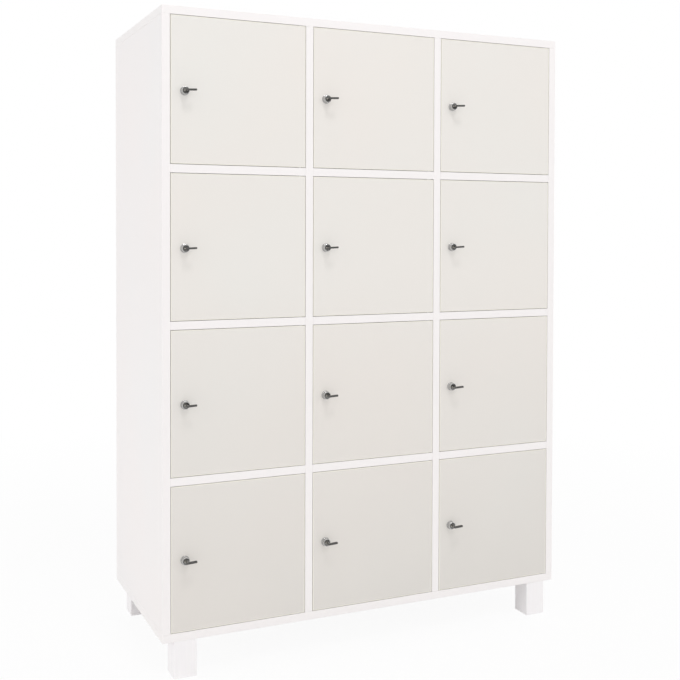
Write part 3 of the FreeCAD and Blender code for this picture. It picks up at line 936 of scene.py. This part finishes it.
class LOCKER_OT_keys(Operator):
    """Make the keys: cut blade, folded head and rivet"""

    bl_idname = "locker.keys"
    bl_label = "Keys"

    def execute(self, context):
        key = context.scene.locker_key
        finishes = context.scene.locker_finishes
        self.make_blade(key, metal_finish("key_nickel", finishes.key_blade, 0.22, 0.3))
        self.make_head(key, key_head_finish(finishes))
        self.make_rivet(key, metal_finish("key_rivet", finishes.steel, 0.25, 0.3))
        return {"FINISHED"}

    def pivot(self, key):
        """Where the rivet stands along Y."""
        return -(key.head_near + key.head_far) / 2

    def make_blade(self, key, finish):
        """Cut the blade's outline and its two grooves."""
        half, neck = key.blade_width / 2, key.neck_width / 2
        eye = 1.4 * MM
        tip = 2 * MM
        first_cut = 6 * MM
        # Depths of the cuts, and a cut's outline along the blade, in millimetres
        depths = (1.1, 0.6, 1.3, 0.8, 1.0)
        outline = ((-1.3, 0), (-0.4, 1), (0.4, 1), (1.3, 0))
        right, left = [], []
        for number, depth in enumerate(depths):
            y = first_cut + number * key.cut_spacing
            other = depths[-1 - number]
            for along, share_of_depth in outline:
                right.append((half - depth * share_of_depth * MM, y + along * MM))
                left.append((-half + other * share_of_depth * MM, y + along * MM))
        corners = [
            (-neck + eye, -key.neck_end), (neck - eye, -key.neck_end), (neck, eye - key.neck_end), (neck, 0),
            (half, 0), *right, (half, key.blade_end - tip), (half - tip, key.blade_end),
            (tip - half, key.blade_end), (-half, key.blade_end - tip), *reversed(left), (-half, 0),
            (-neck, 0), (-neck, eye - key.neck_end),
        ]
        blade = plate("key_blade", [*corners, corners[0]], key.blade_thickness)
        groove_half, groove_start = key.groove_width / 2, 1.5 * MM
        groove_bed = key.blade_thickness / 2 - key.groove_depth
        for side in (-1, 1):
            low, high = sorted((side * groove_bed, side * key.blade_thickness))
            groove = block("groove", (-groove_half, groove_start, low), (groove_half, key.blade_end + MM, high))
            combine(blade, groove)
        combine(blade, self.pin("hole", key, key.rivet_radius + FIT, 2))
        fit_to_locks(blade, finish, "key", "key")

    def make_head(self, key, finish):
        """Mould the head with finger hollows, a slot for the neck and a ring hole."""
        half = key.head_thickness / 2
        head = block("key_head", (-key.head_left, -key.head_far, -half), (key.head_right, -key.head_near, half))
        bevel(head, running(2), key.head_corner, 8)
        bevel(head, level(2), key.head_edge, 3)
        border, slope, hollow = 0.7 * MM, 0.5 * MM, 0.3 * MM
        for side in (-1, 1):
            bpy.ops.object.mode_set(mode="EDIT")
            choose("FACE", lambda part: part.normal.z * side > 0.99)
            bpy.ops.mesh.inset(thickness=border, depth=0)
            bpy.ops.mesh.inset(thickness=slope, depth=-hollow)
            bpy.ops.object.mode_set(mode="OBJECT")
        neck = key.neck_width / 2 + FIT
        slot_half = key.blade_thickness / 2 + FIT
        slot_end = -key.neck_end - 2 * FIT
        combine(head, block("slot", (-neck, slot_end, -slot_half), (neck, 0, slot_half)))
        combine(head, self.pin("hole", key, key.rivet_radius + FIT, 3))
        hole = shift(self.pin("hole", key, key.ring_hole, 3), (key.head_right - key.head_corner - MM, 0, 0))
        combine(head, hole)
        fit_to_locks(head, finish, "key", "key")

    def make_rivet(self, key, finish):
        """Make the rivet that the head folds on."""
        half = key.head_thickness / 2
        radius = key.rivet_radius
        dome = 0.25 * MM
        rivet = turn_to_z(turned("key_rivet", [
            (0, -half), (radius * 0.6, dome * 0.3 - half), (radius, dome - half),
            (radius, half - dome), (radius * 0.6, half - dome * 0.3), (0, half),
        ], 24))
        shift(rivet, (0, self.pivot(key), 0))
        fit_to_locks(rivet, finish, "key", "key")

    def pin(self, name, key, radius, reach):
        """An upright round bar at the rivet's place; its reach up and down is in millimetres."""
        end = reach * MM
        bar = turn_to_z(turned(name, [(0, -end), (radius, -end), (radius, end), (0, end)], 24))
        return shift(bar, (0, self.pivot(key), 0))


class LOCKER_OT_screws(Operator):
    """Make the wood screws in the strike blocks, the legs and the back"""

    bl_idname = "locker.screws"
    bl_label = "Screws"

    def execute(self, context):
        sizes = context.scene.locker_screws
        finish = metal_finish("screw_steel", context.scene.locker_finishes.steel, 0.28, 0.4)
        self.make(sizes, "strike_screws", sizes.strike_length, self.in_strikes(sizes), finish)
        self.make(sizes, "leg_screws", sizes.leg_length, self.in_legs(sizes), finish)
        self.make(sizes, "back_screws", sizes.back_length, self.in_back(sizes), finish)
        return {"FINISHED"}

    def in_strikes(self, sizes):
        """Places and turns of the screws in the strike blocks, which point to the left."""
        spots = []
        gap = FIRST_DOOR[0].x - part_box("side_left")[1].x
        for spot in SPOTS:
            low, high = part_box(f"door_{spot}")
            x = low.x - gap + sizes.strike_width
            y = high.y + sizes.strike_clearance + sizes.strike_depth / 2
            for side in (-1, 1):
                z = lock_middle(spot).z + side * sizes.strike_spacing / 2
                spots.append(((x, y, z), (0, 0, math.pi / 2)))
        return spots

    def in_legs(self, sizes):
        """Places and turns of the screws in the legs, which point down."""
        low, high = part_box("legs")
        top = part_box("bottom_panel")[1].z
        half = sizes.leg_side / 2
        return [
            ((x + offset, y + offset, top), (-math.pi / 2, 0, 0))
            for x in (low.x + half, high.x - half)
            for y in (low.y + half, high.y - half)
            for offset in (-sizes.leg_offset, sizes.leg_offset)
        ]

    def in_back(self, sizes):
        """Places and turns of the screws in the back, which point forwards."""
        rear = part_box("back_panel")[1].y
        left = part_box("side_left")
        middles = [(left[0].x + left[1].x) / 2 + n * COLUMN_PITCH for n in range(4)]
        heights = [(FIRST_DOOR[0].z + FIRST_DOOR[1].z) / 2 - n * ROW_PITCH for n in range(4)]
        return [((x, rear, z), (0, 0, math.pi)) for x in middles for z in heights]

    def make(self, sizes, name, reach, spots, finish):
        """Model one screw, then copy it to its places and join the copies."""
        neck = sizes.head_rim + sizes.head_radius - sizes.shank_radius
        edge = 0.1 * MM
        recess_radius = 1.7 * MM
        pattern = turned(f"{name}_pattern", [
            (0, 0), (sizes.head_radius - edge, 0), (sizes.head_radius, edge),
            (sizes.head_radius, sizes.head_rim), (sizes.shank_radius, neck),
            (sizes.shank_radius, reach - sizes.point), (0, reach),
        ], 24)
        cross_recess(pattern, 0, 1, recess_radius, sizes.recess)
        smooth(pattern)
        dress(pattern, finish)
        pieces = []
        for place, turn in spots:
            only(pattern)
            bpy.ops.object.duplicate()
            piece = bpy.context.object
            piece.location = place
            piece.rotation_euler = turn
            bpy.ops.object.transform_apply(location=True, rotation=True, scale=True)
            pieces.append(piece)
        bpy.data.objects.remove(pattern)
        only(pieces[0])
        for piece in pieces:
            piece.select_set(True)
        bpy.ops.object.join()
        joined = named(name)
        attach(joined, "carcass")
        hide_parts("screws")


class LOCKER_OT_stage(Operator):
    """Set up the floor, the light and the camera"""

    bl_idname = "locker.stage"
    bl_label = "Stage"

    def execute(self, context):
        stage = context.scene.locker_stage
        bpy.ops.object.select_all(action="DESELECT")
        bpy.ops.mesh.primitive_circle_add(vertices=96, radius=stage.floor_radius, fill_type="NGON")
        floor = named("floor")
        dress(floor, floor_finish())
        self.light(context, stage)
        bpy.ops.object.camera_add(location=stage.camera_place, rotation=stage.camera_turn)
        camera = context.object
        camera.data.sensor_width = 36
        camera.data.lens = stage.lens
        camera.data.shift_x = stage.shift_x
        camera.data.shift_y = stage.shift_y
        camera.data.dof.use_dof = False
        context.scene.camera = camera
        context.scene.view_settings.view_transform = "Standard"
        return {"FINISHED"}

    def light(self, context, stage):
        """White surroundings, a lamp above in front, a weak one on the left and a panel for the gloss."""
        world = bpy.data.worlds.new("white_room")
        context.scene.world = world
        world.use_nodes = True
        made = Nodes(world.node_tree)
        direction = made.add("ShaderNodeTexCoord").outputs["Generated"]
        height = made.add("ShaderNodeSeparateXYZ", {0: direction}).outputs["Z"]
        sky = made.graded(height, stage.sky_low, stage.sky_high)
        glow = made.graded(made.seen(), sky, 1)
        background = made.tree.nodes["Background"]
        background.inputs["Color"].default_value = (1, 1, 1, 1)
        made.tree.links.new(glow, background.inputs["Strength"])
        front_middle = (0, FRONT, 0.8)
        self.lamp(stage.front_place, front_middle, stage.front_power, stage.front_side)
        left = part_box("side_left")
        self.lamp(stage.left_place, (left[0] + left[1]) / 2, stage.left_power, stage.left_side)
        below = Vector(stage.panel_place) - Vector((0, 0, 1))
        panel_power = stage.panel_glow * math.pi * stage.panel_side**2
        panel = self.lamp(stage.panel_place, below, panel_power, stage.panel_side)
        panel.visible_diffuse = False

    def lamp(self, place, aim, power, side):
        """A square lamp that points at something."""
        bpy.ops.object.light_add(type="AREA", location=place)
        lamp = bpy.context.object
        lamp.data.energy = power
        lamp.data.size = side
        lamp.rotation_euler = (Vector(aim) - lamp.location).to_track_quat("-Z", "Y").to_euler()
        return lamp


class LOCKER_PT_panel(Panel):
    """The locker's steps in the sidebar"""

    bl_label = "Compartment Locker"
    bl_space_type = "VIEW_3D"
    bl_region_type = "UI"
    bl_category = "Locker"

    def draw(self, context):
        for step in STEPS:
            self.layout.operator(step.bl_idname)


STEPS = (
    LOCKER_OT_boards,
    LOCKER_OT_doors,
    LOCKER_OT_back_and_legs,
    LOCKER_OT_fittings,
    LOCKER_OT_lock_bodies,
    LOCKER_OT_lock_nuts,
    LOCKER_OT_lock_plugs,
    LOCKER_OT_cams,
    LOCKER_OT_keys,
    LOCKER_OT_screws,
    LOCKER_OT_stage,
)
SETTINGS = {
    "locker_finishes": LockerFinishes,
    "locker_lock": LockerLock,
    "locker_key": LockerKey,
    "locker_screws": LockerScrews,
    "locker_stage": LockerStage,
}


def register():
    for group in SETTINGS.values():
        bpy.utils.register_class(group)
    for name, group in SETTINGS.items():
        setattr(bpy.types.Scene, name, PointerProperty(type=group))
    for step in STEPS:
        bpy.utils.register_class(step)
    bpy.utils.register_class(LOCKER_PT_panel)


def unregister():
    bpy.utils.unregister_class(LOCKER_PT_panel)
    for step in reversed(STEPS):
        bpy.utils.unregister_class(step)
    for name, group in reversed(SETTINGS.items()):
        delattr(bpy.types.Scene, name)
        bpy.utils.unregister_class(group)


def main():
    register()
    bpy.ops.locker.boards()
    bpy.ops.locker.doors()
    bpy.ops.locker.back_and_legs()
    bpy.ops.locker.fittings()
    bpy.ops.locker.lock_bodies()
    bpy.ops.locker.lock_nuts()
    bpy.ops.locker.lock_plugs()
    bpy.ops.locker.cams()
    bpy.ops.locker.keys()
    bpy.ops.locker.screws()
    bpy.ops.locker.stage()


if __name__ == "__main__":
    main()
